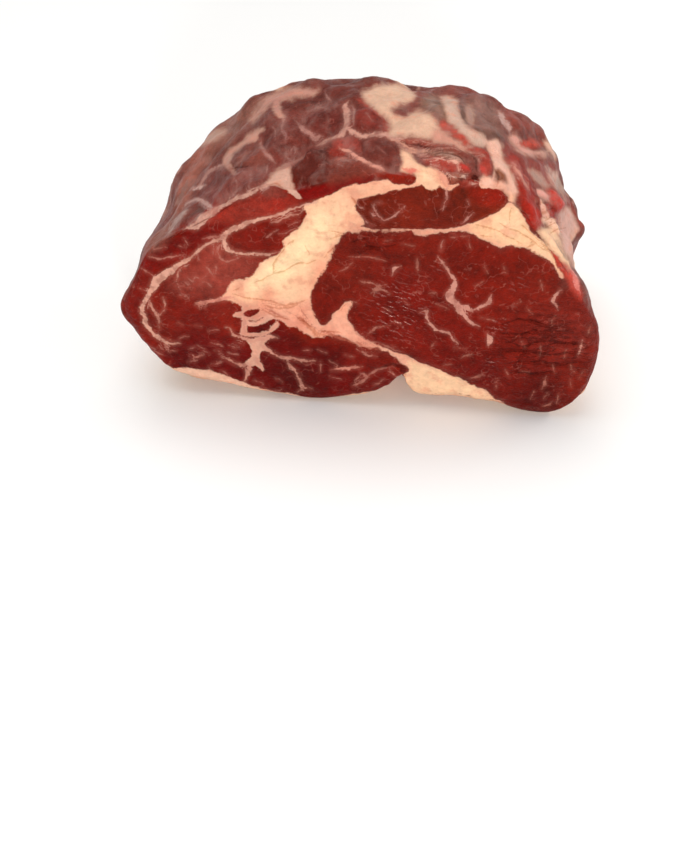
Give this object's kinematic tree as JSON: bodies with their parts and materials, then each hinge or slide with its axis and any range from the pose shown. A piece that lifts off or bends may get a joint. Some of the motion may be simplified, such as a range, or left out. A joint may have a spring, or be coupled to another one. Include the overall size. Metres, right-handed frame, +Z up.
{
  "type": "raw beef rib roast",
  "caption": "Raw boneless beef rib roast with a marbled cut face, a large eye muscle, a cap muscle and seams of fat, lying on a flat underside.",
  "frame": {"origin": "under the middle of the roast, on the surface that it rests on", "axes": "+Z up, +X from the thin end of the cap muscle to the eye muscle, -Y out of the large cut face"},
  "size_m": [0.2386, 0.1254, 0.1507],
  "materials": {
    "raw_beef": "moist cut muscle, deep red with cream fat"
  },
  "bodies": {
    "root": {"rib_roast": "raw_beef"}
  },
  "joints": []
}
